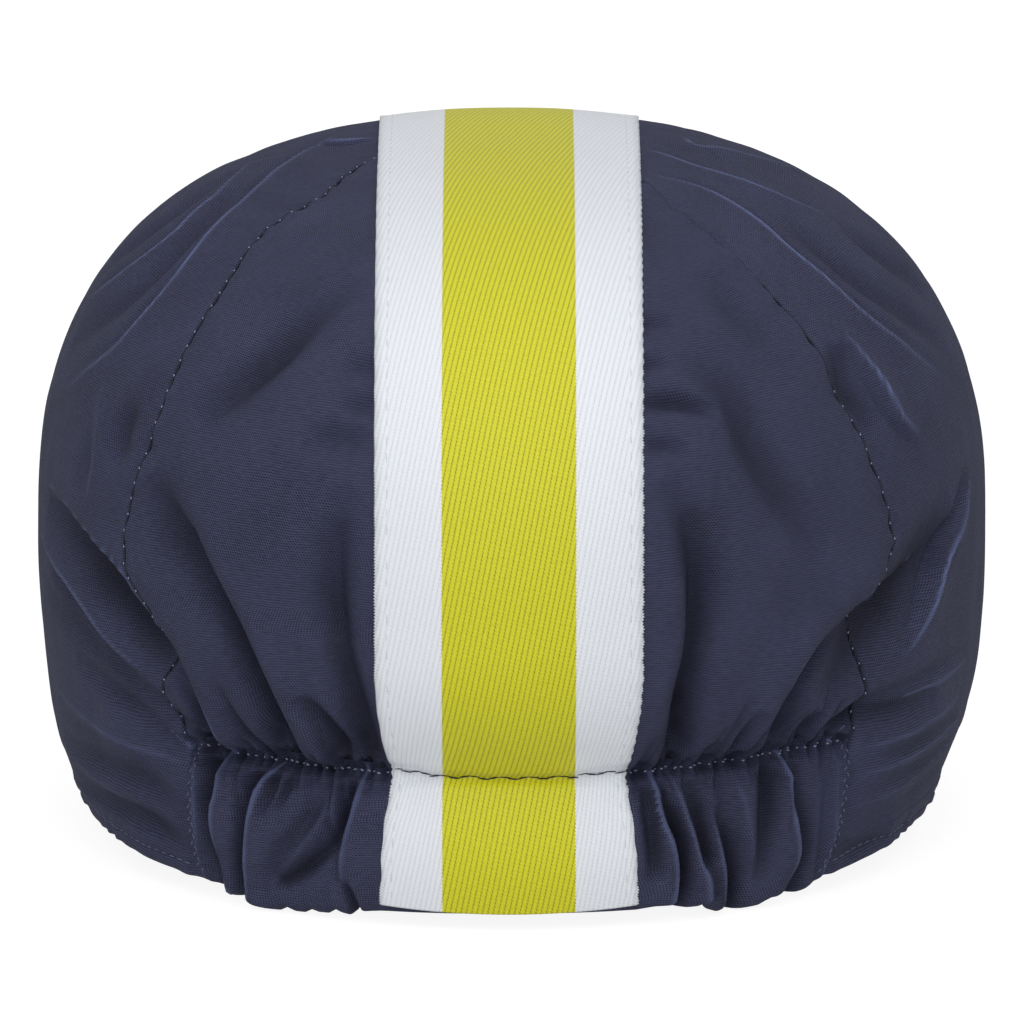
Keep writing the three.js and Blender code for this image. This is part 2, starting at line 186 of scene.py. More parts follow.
HEM_HEIGHTS = [  # azimuth in degrees to either side, height in millimetres
    (0, 3.4), (17, 3.1), (24, 2), (30, 0.3), (36, 0.3), (44, 3.4), (60, 5.6), (90, 4.8), (120, 7.7), (150, 13.9),
    (180, 17)]


def hem_height(azimuth):
    """The hem above the floor: lowest where the gathers stand, highest at the front over the peak."""
    degrees = np.degrees(np.arccos(np.cos(azimuth)))
    return np.interp(degrees, *np.array(HEM_HEIGHTS).T)


SEAMS = {  # up the left seam (-1) and the right one (1): share of the crown's height, azimuth in degrees
    -1: [(0, 43), (0.22, 45.2), (0.3, 47), (0.37, 44.6), (0.42, 47.3), (0.47, 51.7), (0.52, 52.5), (0.58, 51.8),
         (0.65, 49.8), (0.75, 48.9), (0.86, 49.2), (0.93, 52), (0.968, 51), (0.985, 60), (1, 76)],
    1: [(0, 44), (0.22, 48.5), (0.28, 49.4), (0.36, 47.9), (0.435, 48.4), (0.466, 50.5), (0.51, 52.7), (0.556, 52),
        (0.61, 50.8), (0.655, 49.1), (0.7, 47.8), (0.75, 46.9), (0.79, 46), (0.83, 44.5), (0.865, 43.1),
        (0.9, 42.3), (0.93, 41.5), (0.964, 40), (0.985, 44), (1, 55)],
}


def seam_azimuth(z, hand):
    """The seam between back and side panels, which wanders a little and differs from side to side."""
    return np.radians(np.interp(z / CROWN_HEIGHT, *np.array(SEAMS[hand]).T))


def spline(places, count=24):
    """A smooth line through a few places, each (azimuth in degrees, height as a share of the crown's)."""
    p = np.array(places, float)
    if len(p) == 2:
        p = np.array([p[0], p.mean(0), p[1]])
    p = np.vstack([2 * p[0] - p[1], p, 2 * p[-1] - p[-2]])
    t = np.linspace(0, len(p) - 3 - 1e-6, count)
    i, f = t.astype(int), (t % 1)[:, None]
    a, b, c, d = p[i], p[i + 1], p[i + 2], p[i + 3]
    line = 0.5 * (2 * b + (c - a) * f + (2 * a - 5 * b + 4 * c - d) * f ** 2 + (3 * b - a - 3 * c + d) * f ** 3)
    return crown_point(np.radians(line[:, 0]), line[:, 1] * CROWN_HEIGHT)


def nearest_on(line, p):
    """For each point: how far along the line its nearest place is, the vector from there, and the line's heading."""
    a, seg = line[:-1], np.diff(line, axis=0)
    length = (seg ** 2).sum(1)
    t = np.clip((np.einsum("ij,kj->ik", p, seg) - (a * seg).sum(1)) / length, 0, 1)
    away = p[:, None] - a - t[..., None] * seg
    k = (away ** 2).sum(2).argmin(1)
    row = np.arange(len(p))
    return (k + t[row, k]) / len(seg), away[row, k], seg[k] / np.sqrt(length[k])[:, None]


def folded(p, folds, normal):
    """Lifts cloth into folds, each given by its places, height, width, steepness and how it ends.
    A steepness above 0 puts a hollow to the right of the way the fold runs, below 0 to the left, and at 1 it is a
    sharp tuck; 0 is an even swell, or a hollow where the height is negative. A fold fades at both ends ("soft"),
    only at the far one ("rooted"), or at neither ("through").
    Gives back the cloth and, for each point, the light painted on it: above 0 on a sharp crest, which is painted paler
    as a highlight, and below 0 deep in a fold, which is painted darker to stand for shade the lamps don't give."""
    crease_width = 0.36  # painted pale as a highlight
    widest_shaded, fully_shaded = 8, 4.5  # the width of a fold, and the depth at which its shade is full
    moved, painted_light, deep = p.copy(), np.zeros(len(p)), np.zeros(len(p))
    for places, height, width, steep, ends in folds:
        line = spline(places)
        near = ((p > line.min(0) - 5 * width) & (p < line.max(0) + 5 * width)).all(1)
        if not near.any():
            continue
        along, away, heading = nearest_on(line, p[near])
        out = normal[near]
        across = np.cross(heading, out)
        side = (away * across).sum(1)
        beyond = np.linalg.norm(away - side[:, None] * across, axis=1)
        hand, sharp = (-1 if steep < 0 else 1), abs(steep)
        d = side / width * hand
        shape = np.exp(-d ** 2)
        if steep:
            # A long easy rise, a short fall, and a hollow at its foot that is deeper the sharper the fold.
            fall = 1.3 - 0.8 * sharp
            crest = np.where(d > 0, np.exp(-(d / fall) ** 2), np.exp(-(np.abs(d) / 2.3) ** 1.5))
            shape = crest - (0.55 + 0.4 * sharp) * np.exp(-((d - 2.1 * fall) / (1.15 * fall)) ** 2)
        fade = {"soft": np.sin(np.pi * along) ** 0.7, "rooted": np.cos(np.pi / 2 * along) ** 0.6, "through": 1}[ends]
        fade = fade * np.exp(-(beyond / width) ** 2)
        lean = 0.7 * sharp ** 3 * height * np.exp(-((d - 0.15) / 0.6) ** 2) * fade * hand
        moved[near] += (height * shape * fade)[:, None] * out + lean[:, None] * across
        # A painted highlight along the crest of a sharp fold.
        painted_crest_highlight = np.clip((sharp - 0.4) / 0.4, 0, 1) * fade * np.exp(-((d * width + 0.15) / crease_width) ** 2)
        painted_light[near] = np.maximum(painted_light[near], painted_crest_highlight)
        # Painted shade deep in a narrow fold.
        if width < widest_shaded:
            deep[near] = np.maximum(deep[near], np.minimum(-height * shape * fade / fully_shaded, 1))
    return moved, np.where(painted_light > deep, painted_light, -deep)


def ripple(p, size, seed):
    """Soft, uneven swelling of the cloth, between -1 and 1, size millimetres from one swell to the next."""
    return np.array([noise.noise(Vector(q) / size + Vector((seed, 0, 0))) for q in p])


CROWN_FOLDS = [  # places as spline takes them, then height and width in millimetres, steepness and ends
    # Left back panel: lobes that fan up from the casing, the hollows between them, and slack near the tape.
    ([(-38.7, 0.215), (-38.6, 0.27), (-41, 0.33), (-46.5, 0.42)], 2.8, 2.2, -0.6, "rooted"),
    ([(-42.1, 0.205), (-41.1, 0.266), (-41.8, 0.316), (-44.8, 0.39)], -4.6, 2.4, 0, "rooted"),
    ([(-26.2, 0.215), (-26.6, 0.30), (-30.4, 0.40), (-34, 0.47), (-40, 0.56)], 3.0, 2.7, -0.5, "rooted"),
    ([(-28.3, 0.215), (-29.6, 0.306), (-33.6, 0.408), (-37.3, 0.459), (-41.2, 0.509), (-48, 0.60)], -5.8, 3.4, 0,
     "rooted"),
    ([(-36, 0.42), (-41.2, 0.509), (-44.8, 0.544), (-49, 0.61)], -3.6, 4.8, 0, "soft"),
    ([(-32.5, 0.22), (-34.4, 0.25), (-36.5, 0.30)], -3.4, 1.5, 0, "rooted"),
    ([(-21.2, 0.22), (-22.3, 0.288), (-25.2, 0.34)], -4.8, 1.9, 0, "rooted"),
    ([(-22.9, 0.215), (-23.9, 0.27), (-26, 0.33)], 1.5, 1.3, 0, "rooted"),
    ([(-17.9, 0.22), (-18.4, 0.31), (-19.5, 0.38), (-20.7, 0.45), (-21.2, 0.499), (-21.1, 0.563), (-19.5, 0.65)],
     -4.6, 2.9, 0, "rooted"),
    ([(-21, 0.42), (-21.4, 0.50), (-20.5, 0.60)], -2.2, 4.8, 0, "soft"),
    ([(-26.5, 0.90), (-31.1, 0.84), (-33.4, 0.807), (-36.1, 0.776), (-38.9, 0.744), (-43, 0.70)], -4.0, 4.2, 0, "soft"),
    ([(-16.8, 0.805), (-23, 0.80)], -1.2, 2.0, 0, "soft"),
    ([(-16.8, 0.755), (-22, 0.75)], -1.4, 2.0, 0, "soft"),
    ([(-17, 0.70), (-22, 0.71), (-26, 0.70)], -1.8, 3.0, 0, "soft"),
    ([(-30, 0.68), (-36, 0.65), (-44, 0.62)], 1.0, 8.0, 0, "soft"),
    # Right back panel.
    ([(20.0, 0.215), (19.3, 0.30), (19.6, 0.36), (20.6, 0.44), (20.5, 0.52)], 2.2, 2.0, 0.5, "rooted"),
    ([(21.1, 0.22), (21.0, 0.331), (21.9, 0.39), (23, 0.44), (23.4, 0.497), (22.8, 0.547), (21.5, 0.598),
      (18.5, 0.655)], -4.9, 3.1, 0, "rooted"),
    ([(22.5, 0.40), (23.8, 0.50), (22, 0.61)], -2.4, 5.0, 0, "soft"),
    ([(24.5, 0.82), (28.8, 0.769), (30.8, 0.727), (31.6, 0.684), (33.4, 0.636), (36.1, 0.583), (39.5, 0.51)],
     -3.6, 4.6, 0, "soft"),
    ([(16.8, 0.758), (22.1, 0.754), (28, 0.735)], -3.0, 1.8, 0, "soft"),
    ([(17.0, 0.856), (25, 0.85)], -1.3, 1.8, 0, "soft"),
    ([(16.8, 0.807), (22.5, 0.803)], -1.4, 1.6, 0, "soft"),
    ([(16.8, 0.70), (19, 0.70), (22, 0.69)], -1.8, 1.8, 0, "soft"),
    ([(35, 0.90), (35, 0.86), (38.5, 0.81)], -1.5, 4.0, 0, "soft"),
    ([(33.7, 0.215), (33.6, 0.30), (36.4, 0.375), (43.3, 0.43), (51, 0.46), (63, 0.475)], 3.0, 2.8, 0.5, "rooted"),
    ([(35.0, 0.22), (35.6, 0.30), (38.3, 0.362), (41.7, 0.399), (47, 0.44)], -5.0, 2.9, 0, "rooted"),
    ([(68, 0.50), (59.5, 0.464), (53.7, 0.429), (47, 0.37), (41.5, 0.29)], -5.4, 6.0, 0, "soft"),
    ([(40.6, 0.215), (40.9, 0.24), (41.3, 0.28)], -3.8, 2.2, 0, "rooted"),
    ([(51, 0.447), (57, 0.463), (64, 0.49)], 0.9, 1.6, 0.8, "soft"),
    ([(28.9, 0.215), (29.3, 0.246), (31, 0.29)], 1.2, 1.3, 0.6, "rooted"),
    ([(29.2, 0.22), (29.9, 0.27), (31.5, 0.31)], -2.6, 1.5, 0, "rooted"),
    ([(25.5, 0.22), (26.5, 0.26)], -2.0, 1.5, 0, "rooted"),
    # Left side panel: lobes drawn in behind, then thin sharp creases over the crown, their crests painted pale as
    # highlights.
    ([(-44.8, 0.212), (-51.8, 0.275), (-58.6, 0.315), (-80, 0.42)], 1.5, 2.2, 0.55, "rooted"),
    ([(-45, 0.335), (-47.3, 0.364), (-51.2, 0.401), (-57.1, 0.442), (-63.2, 0.472), (-76, 0.51)], -5.6, 4.2, 0, "soft"),
    ([(-45.5, 0.40), (-49.2, 0.432), (-54.5, 0.482), (-65, 0.517), (-80, 0.54)], 1.8, 2.0, -0.58, "soft"),
    ([(-49, 0.325), (-55.7, 0.362), (-60.5, 0.396), (-69.4, 0.428), (-82, 0.45)], 1.8, 1.9, -0.62, "soft"),
    ([(-46, 0.25), (-50.8, 0.283), (-57.3, 0.312), (-65.2, 0.353), (-84, 0.42)], -1.8, 2.8, 0, "soft"),
    ([(-45.6, 0.215), (-50.6, 0.258), (-55.5, 0.277), (-65, 0.31)], -2.6, 2.2, 0, "soft"),
    ([(-45, 0.125), (-51.2, 0.151), (-57.8, 0.158), (-76, 0.155)], -2.4, 2.6, 0, "soft"),
    ([(-44, 0.065), (-48.7, 0.082), (-56.2, 0.098), (-76, 0.09)], -2.2, 2.6, 0, "soft"),
    ([(-45, 0.19), (-56, 0.21), (-78, 0.23)], 0.8, 2.0, -0.5, "soft"),
    ([(-47, 0.115), (-62, 0.125), (-84, 0.14)], 0.8, 2.2, -0.45, "soft"),
    ([(-75.7, 0.67), (-65.3, 0.747), (-61.6, 0.796), (-59.8, 0.851), (-61.7, 0.903), (-66.6, 0.942), (-76.4, 0.967),
      (-92, 0.979), (-114, 0.984)], 1.1, 1.9, -0.85, "soft"),
    ([(-85, 0.77), (-76, 0.837), (-72.8, 0.885), (-76.5, 0.919), (-80.4, 0.94), (-97, 0.957)], 1.0, 1.8, -0.85, "soft"),
    ([(-98, 0.993), (-97.4, 0.988), (-102, 0.981)], 0.7, 1.4, -0.8, "soft"),
    ([(-82, 0.72), (-71, 0.80), (-67.5, 0.86), (-70, 0.91), (-76, 0.945)], -2.2, 3.6, 0, "soft"),
    ([(-95, 0.78), (-86, 0.86), (-86, 0.91), (-95, 0.945)], -1.8, 4.0, 0, "soft"),
    ([(-64, 0.71), (-60.6, 0.611), (-61.3, 0.54)], 0.9, 2.6, 0.5, "soft"),
    ([(-53.5, 0.70), (-56, 0.66), (-54, 0.62)], -2.4, 3.6, 0, "soft"),
    ([(-58, 0.0), (-88, 0.01), (-122, 0.02)], -2.4, 14.0, 0, "soft"),
    ([(-100, 0.30), (-118, 0.42), (-132, 0.36)], 1.8, 9.0, 0, "soft"),
    ([(-96, 0.55), (-120, 0.60), (-150, 0.52)], 1.4, 8.0, 0, "soft"),
    # Right side panel.
    ([(76, 0.545), (70.2, 0.493), (66.4, 0.453), (60.5, 0.385), (55, 0.335)], 1.9, 1.9, 0.75, "soft"),
    ([(45, 0.213), (49.1, 0.251), (53.6, 0.268), (63, 0.275), (76, 0.272)], 1.3, 1.6, -0.65, "rooted"),
    ([(44.8, 0.205), (45.8, 0.235), (49, 0.254), (54.2, 0.258), (63, 0.262)], -3.8, 2.6, 0, "soft"),
    ([(50, 0.205), (59, 0.22), (74, 0.225)], 1.2, 1.8, 0.5, "soft"),
    ([(49, 0.165), (60, 0.18), (78, 0.19)], 1.1, 1.8, 0.5, "soft"),
    ([(48, 0.12), (62, 0.14), (84, 0.17)], 0.8, 2.2, 0.45, "soft"),
    ([(45.5, 0.07), (49.6, 0.057), (58, 0.06)], -2.0, 2.4, 0, "soft"),
    ([(49.5, 0.985), (53.2, 0.974), (54.6, 0.958), (54.2, 0.937), (53.6, 0.903), (55.3, 0.867), (58.6, 0.815),
      (64.2, 0.76), (72, 0.695)], 1.2, 1.9, -0.85, "soft"),
    ([(77, 0.993), (69, 0.984), (69.5, 0.965), (71.5, 0.94), (77.6, 0.913)], 1.0, 1.8, -0.82, "soft"),
    ([(62, 0.93), (63, 0.88), (67, 0.83), (74, 0.77), (80, 0.71)], -2.2, 3.6, 0, "soft"),
    ([(76, 0.90), (80, 0.85), (86, 0.79)], -1.8, 4.0, 0, "soft"),
    ([(112, 0.985), (92.8, 0.983), (93.9, 0.975), (96.9, 0.958), (103, 0.925)], 0.9, 1.8, -0.8, "soft"),
    ([(52.5, 0.80), (54.8, 0.752), (56.3, 0.711), (57.5, 0.677), (61, 0.64)], 1.3, 1.8, 0.72, "soft"),
    ([(50.5, 0.79), (50, 0.73), (53, 0.67)], -3.4, 3.8, 0, "soft"),
    ([(92, 0.10), (90, 0.45), (94, 0.78)], 1.3, 25.0, 0, "soft"),
    ([(58, 0.0), (88, 0.01), (122, 0.02)], -2.8, 15.0, 0, "soft"),
    ([(104, 0.32), (118, 0.40), (130, 0.34)], 1.8, 9.0, 0, "soft"),
    ([(98, 0.56), (122, 0.62), (150, 0.50)], 1.4, 8.0, 0, "soft"),
]
# Small creases that cross the casing's stitching, one for each stitch or two, pinched deepest at the thread.
shuffle = np.random.default_rng(7)
PUCKERS = []
for degrees in np.concatenate([np.arange(-45, -16, 1.5), np.arange(16.4, 49, 1.5)]):
    foot = degrees + shuffle.uniform(-0.4, 0.4)
    above, below = shuffle.choice([0.025, 0.045, 0.075, 0.12], 2, p=[0.25, 0.3, 0.25, 0.2])
    depth, width = shuffle.uniform(0.8, 1.9), shuffle.uniform(0.55, 1.0)
    PUCKERS.append(([(foot, 0.216), (foot * (1 + 0.9 * above), 0.216 + above)], -depth, width, 0, "rooted"))
    PUCKERS.append(([(foot, 0.224), (foot * (1 - 0.4 * below), 0.224 - below)], -0.8 * depth, width, 0, "rooted"))


def tape_half_width(z):
    """Half the tape's width up the back, where the casing's stitching draws it in."""
    return TAPE_WIDTH / 2 * np.interp(z, [3, 10, 14.5, 18.5, 22, 26, CASING_TOP, 33, 37, 41, 45, 50],
                                      [0.966, 0.965, 0.959, 0.951, 0.929, 0.898, 0.883, 0.921, 0.951, 0.974, 0.989, 1])


def under_tape(p, z):
    """1 under the tape, 0 beside it."""
    half = np.where(p[:, 1] < 0, tape_half_width(z), TAPE_WIDTH / 2)
    return 1 - smooth(np.abs(p[:, 0]), half - 1.2, half + 0.4)


def crown_cloth(azimuth, z, seam_away, over_casing=False):
    """Points of the crown's cloth, with its folds, its pull at the seams, and the flat lie under the tape."""
    seam_depth, seam_pull, seam_puckers, stitch_pull = 1.4, 0.45, 0.7, 0.3
    p = crown_point(azimuth, z)
    normal = crown_normal(p)
    moved, painted_light = folded(p, CROWN_FOLDS, normal)
    slack = 0.45 * ripple(p, size=21, seed=3) + 0.3 * ripple(p * [1, 1, 0.5], size=8, seed=9)
    moved += slack[:, None] * normal - p
    up = z - CASING_TOP
    by_line = 1 if over_casing else np.exp(-(seam_away / 9) ** 2)
    moved *= (1 - 0.85 * by_line * (1 - smooth(up, 0.2, 4.5)))[:, None]
    covered = under_tape(p, z)
    # The right seam lies almost flat near the top, so it sinks less there.
    seam_sinks = 1 - 0.75 * smooth(z, 0.74 * CROWN_HEIGHT, 0.87 * CROWN_HEIGHT) * (azimuth > 0)
    sunk = seam_depth * seam_sinks * smooth(seam_away, 0.45, 0.08)
    sunk = sunk + seam_pull * seam_sinks * np.exp(-(seam_away / 4) ** 2)
    beside = seam_away < 9
    puckered = seam_puckers * ripple(p[beside], size=3.4, seed=5) * np.exp(-(seam_away[beside] / 3.5) ** 2)
    moved[beside] += puckered[:, None] * normal[beside]
    if over_casing:
        pinched, pinch_shade = folded(p, PUCKERS, normal)
        moved += (pinched - p) * smooth(seam_away, 0, 3)[:, None]
        # Painted shade in the pinched creases along the stitching.
        painted_light = np.where(painted_light > 0, painted_light, np.minimum(painted_light, 2 * pinch_shade))
        sunk += stitch_pull * np.exp(-(np.maximum(up, 0) / 0.9) ** 2) + 1.3 * covered * np.exp(-(up / 3) ** 2)
    return p + moved * (1 - covered)[:, None] - sunk[:, None] * normal, painted_light


def height_rows(low, v):
    """Heights up a meridian, closer together at the low end and over the top of the dome."""
    waist = 0.42  # the share of the rows that lies below it
    angle = np.clip((v - waist) / (1 - waist), 0, 1) * np.pi / 2 * 0.995
    dome = WAIST_HEIGHT + (CROWN_HEIGHT - WAIST_HEIGHT) * np.sin(angle) ** (2 / DOME_UP)
    return np.where(v < waist, low + (WAIST_HEIGHT - low) * (v / waist) ** 1.15, dome)


def cloth_sheet(name, columns, rows, place, thickness=CLOTH, cut_width=None):
    """A grid laid on the surface that place(u, v) gives, mapped in millimetres of cloth, and given its thickness.
    Where place gives the light and shade painted on its creases and folds too, the sheet keeps that as an attribute.
    Cloth cut to one width is mapped across by that width, however it is drawn in."""
    bpy.ops.object.select_all(action="DESELECT")
    bpy.ops.mesh.primitive_grid_add(x_subdivisions=columns, y_subdivisions=rows, size=2, calc_uvs=True)
    sheet = bpy.context.object
    sheet.name = name
    flat = np.empty(len(sheet.data.vertices) * 3)
    sheet.data.vertices.foreach_get("co", flat)
    flat = flat.reshape(-1, 3)
    order = np.lexsort((flat[:, 0], flat[:, 1]))
    u, v = (flat[order, 0] + 1) / 2, (flat[order, 1] + 1) / 2
    p = place(u, v)
    if isinstance(p, tuple):
        p, creases = p
        painted_light = np.empty(len(creases))
        painted_light[order] = creases
        sheet.data.attributes.new("painted_light", "FLOAT", "POINT").data.foreach_set("value", painted_light)
    wide = p.reshape(rows + 1, columns + 1, 3)
    step_u = np.linalg.norm(np.diff(wide, axis=1), axis=2)
    step_v = np.linalg.norm(np.diff(wide, axis=0), axis=2)
    along_u = np.hstack([np.zeros((rows + 1, 1)), np.cumsum(step_u, 1)])
    if cut_width:
        along_u = np.tile(np.linspace(0, cut_width, columns + 1), (rows + 1, 1))
    along_v = np.vstack([np.zeros(1), np.cumsum(step_v.mean(1))[:, None]]) + 0 * along_u
    placed, mapped = np.empty_like(flat), np.empty((len(flat), 2))
    placed[order] = to_metres(p)
    mapped[order] = np.stack([along_u.ravel(), along_v.ravel()], -1)
    sheet.data.vertices.foreach_set("co", placed.ravel())
    corner = np.empty(len(sheet.data.loops), np.int32)
    sheet.data.loops.foreach_get("vertex_index", corner)
    sheet.data.uv_layers[0].data.foreach_set("uv", mapped[corner].ravel())
    sheet.data.update()
    if thickness:
        wall = sheet.modifiers.new("cloth", "SOLIDIFY")
        wall.thickness = thickness / 1000
        wall.offset = -1
        bpy.ops.object.modifier_apply(modifier=wall.name)
    bpy.ops.object.shade_smooth()
    return sheet


# Polyester poplin, plain woven and piece-dyed navy: matt with a soft sheen where it turns away, and fine ribs across.
# Its threads are drawn about half a millimetre apart, twice the real spacing, so that they just show.
# Crests are painted paler as a highlight; the navy deep in folds is painted darker than its dye, as shade.
THREAD_SPACING, RIB_SPACING = 0.6, 0.5
poplin, tree, shader = new_material("navy_polyester_poplin_plain_woven")
cloth_place = add_node(tree, "UVMap", uv_map="UVMap")
slack = add_node(tree, "TexNoise", Vector=cloth_place, Scale=0.12, Detail=1)
split = add_node(tree, "SeparateXYZ", _0=cloth_place)
rib_turn = add_node(tree, "Math", operation="MULTIPLY_ADD", _0=split.outputs[1], _1=2 * math.pi / RIB_SPACING,
                    _2=add_node(tree, "Math", operation="MULTIPLY", _0=slack, _1=9.0))
thread_turn = add_node(tree, "Math", operation="MULTIPLY", _0=split.outputs[0],
                       _1=2 * math.pi / THREAD_SPACING)
ribs = add_node(tree, "Math", operation="SINE", _0=rib_turn)
threads = add_node(tree, "Math", operation="SINE", _0=thread_turn)
weave = add_node(tree, "Math", operation="MULTIPLY_ADD", _0=threads, _1=ribs, _2=add_node(
    tree, "Math", operation="MULTIPLY", _0=ribs, _1=0.5))
slub = add_node(tree, "TexNoise", Detail=2, Scale=1, Vector=add_node(
    tree, "Mapping", Vector=cloth_place, Scale=(0.5, 2.6, 1)))
cloudy = add_node(tree, "TexNoise", Vector=cloth_place, Scale=0.06, Detail=3)
unevenness = add_node(tree, "Math", operation="MULTIPLY_ADD", _0=slub, _1=0.6, _2=add_node(
    tree, "Math", operation="MULTIPLY_ADD", _0=cloudy, _1=0.3, _2=0.03))
tone = add_node(tree, "Math", operation="MULTIPLY_ADD", use_clamp=True,
                _0=weave, _1=0.4, _2=unevenness)
dyed = add_node(tree, "Mix", data_type="RGBA", _0=tone, _6=linear("#12131f"), _7=linear("#535678"))
painted_light = add_node(tree, "Attribute", attribute_name="painted_light").outputs["Fac"]
# Painted shade: the navy is darkened towards #0b0c15 deep in folds.
shaded = add_node(tree, "Mix", data_type="RGBA", _6=dyed.outputs[2], _7=linear("#0b0c15"), _0=add_node(
    tree, "Math", operation="MULTIPLY", use_clamp=True, _0=add_node(
        tree, "Math", operation="MAXIMUM", _0=painted_light, _1=-1.0), _1=-0.62))
# Painted highlight: crests are made paler towards #7a88b8.
painted_crest_highlight = add_node(tree, "Mix", data_type="RGBA", _6=shaded.outputs[2], _7=linear("#7a88b8"), _0=add_node(
    tree, "Math", operation="MULTIPLY", use_clamp=True, _0=painted_light, _1=0.75))
relief = add_node(tree, "Bump", Strength=0.6, Distance=0.00014, Height=weave)
set_sockets(tree, shader, Base_Color=painted_crest_highlight.outputs[2], Normal=relief, Roughness=0.72, Specular_IOR_Level=0.25,
            Sheen_Weight=0.02, Sheen_Roughness=0.4, Sheen_Tint=linear("#8e94b8"))

for hand, side_name in ((-1, "left"), (1, "right")):
    def back_place(u, v, hand=hand):
        u = u if hand > 0 else 1 - u
        u = 1 - (1 - u) ** 1.35
        z = height_rows(CASING_TOP - 0.5, v)
        edge = seam_azimuth(z, hand)
        azimuth = u * edge
        seam_away = (edge - azimuth) * np.linalg.norm(crown_point(azimuth, z)[:, :2], axis=1)
        return crown_cloth(hand * azimuth, z, seam_away, over_casing=True)

    back = cloth_sheet(f"back_panel_cloth_{side_name}", columns=150, rows=250, place=back_place)
    back.data.materials.append(poplin)
    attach(back, "root")
    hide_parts(f"back_panel_{side_name}")

# Side panels.
# One panel of the same poplin on each side, from the back seam to the front, with its hem turned up and stitched.
# The casing's gathering drags soft folds into it behind, and it is pulled smooth towards the front.
HEM_TURNED_UP = 5.0
HEM_STITCHED_AT = 2.4


def side_hem(azimuth, above):
    """How far the turned-up hem stands out: its fold's thickness, less the pull of its stitching."""
    pull = 0.35 * np.exp(-((above - HEM_STITCHED_AT) / 0.5) ** 2)
    slack = 0.3 * np.sin(azimuth * 61 + 3 * np.sin(azimuth * 17)) * np.sin(azimuth * 23 + 1)
    return 0.3 * smooth(above, HEM_TURNED_UP + 0.4, HEM_TURNED_UP) - pull + slack * np.exp(-(above / 4) ** 2)


for hand, side_name in ((-1, "left"), (1, "right")):
    def side_place(u, v, hand=hand):
        u = u if hand > 0 else 1 - u
        u = u ** 1.45
        z = height_rows(hem_height(seam_azimuth(0, hand) * (1 - u) + np.pi * u), v)
        edge = seam_azimuth(z, hand)
        azimuth = edge + (np.pi - edge) * u
        z = height_rows(hem_height(azimuth), v)
        seam_away = (azimuth - edge) * np.linalg.norm(crown_point(azimuth, z)[:, :2], axis=1)
        p, painted_light = crown_cloth(hand * azimuth, z, seam_away)
        hem = side_hem(azimuth, z - hem_height(azimuth)) * smooth(u, 0, 0.02)
        return p + hem[:, None] * crown_normal(p), painted_light

    side = cloth_sheet(f"side_panel_cloth_{side_name}", columns=190, rows=230, place=side_place)
    side.data.materials.append(poplin)
    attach(side, "root")
    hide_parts(f"side_panel_{side_name}")

# Seam and hem stitching.
# Spun polyester thread, two-ply and slightly hairy. The two back seams are topped with near-black stitches that lie
# sunk in the seam and stand in too for the shade in its groove, with a pale fleck where the needle went through; the
# hems have short stitches in the cloth's own colour.
def thread_material(name, dark, light):
    """Twisted thread: its plies, 0.25 mm apart and drawn across the object, shift it between two tones."""
    thread, tree, shader = new_material(name)
    position = add_node(tree, "TexCoord").outputs["Object"]
    plies = add_node(tree, "TexWave", bands_direction="DIAGONAL", Vector=position, Scale=1250,
                     Distortion=0.6)
    mixed = add_node(tree, "Mix", data_type="RGBA", _0=plies, _6=linear(dark), _7=linear(light))
    relief = add_node(tree, "Bump", Strength=0.3, Distance=0.0001, Height=plies)
    set_sockets(tree, shader, Base_Color=mixed.outputs[2], Normal=relief, Roughness=0.6)
    return thread


def gone_along(line):
    """How far along a line of close points each of them lies."""
    return np.concatenate([[0], np.cumsum(np.linalg.norm(np.diff(line, axis=0), axis=1))])


def paces(line, pitch):
    """Places a pitch apart along a line of close points, and the way the line heads at each."""
    gone = gone_along(line)
    at = np.arange(pitch / 2, gone[-1], pitch)
    here, ahead = (np.stack([np.interp(at + step, gone, line[:, k]) for k in range(3)], -1) for step in (-0.2, 0.2))
    return (here + ahead) / 2, unit(ahead - here)


def sew(name, places, heading, length, width, thread):
    """One mesh of stitches: a bead of a few faces, modelled once, copied to each place and turned along the line."""
    bpy.ops.object.select_all(action="DESELECT")
    bpy.ops.mesh.primitive_uv_sphere_add(segments=6, ring_count=5, radius=0.5)
    line = bpy.context.object
    line.name = name
    bead = np.array([vertex.co for vertex in line.data.vertices])
    faces = np.array([list(face.vertices) + [-1] * (4 - len(face.vertices)) for face in line.data.polygons])
    out = crown_normal(places)
    heading = unit(heading - (heading * out).sum(1, keepdims=True) * out)
    across = np.cross(out, heading)
    points = (places[:, None] + bead[:, :1] * width * across[:, None] + bead[:, 1:2] * 0.75 * width * out[:, None]
              + bead[:, 2:] * length * heading[:, None])
    copies = [[int(i) + k * len(bead) for i in face if i >= 0] for k in range(len(places)) for face in faces]
    line.data.clear_geometry()
    line.data.from_pydata(to_metres(points.reshape(-1, 3)).tolist(), [], copies)
    line.data.materials.append(thread)
    bpy.ops.object.shade_smooth()
    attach(line, "root")
    return line


pale_thread = thread_material("pale_polyester_thread_twisted", "#6f7590", "#a9afc8")
dark_thread = thread_material("dark_navy_polyester_thread_twisted", "#0b0c16", "#1d1e30")
navy_thread = thread_material("navy_polyester_thread_twisted", "#3c3f5a", "#6d7290")
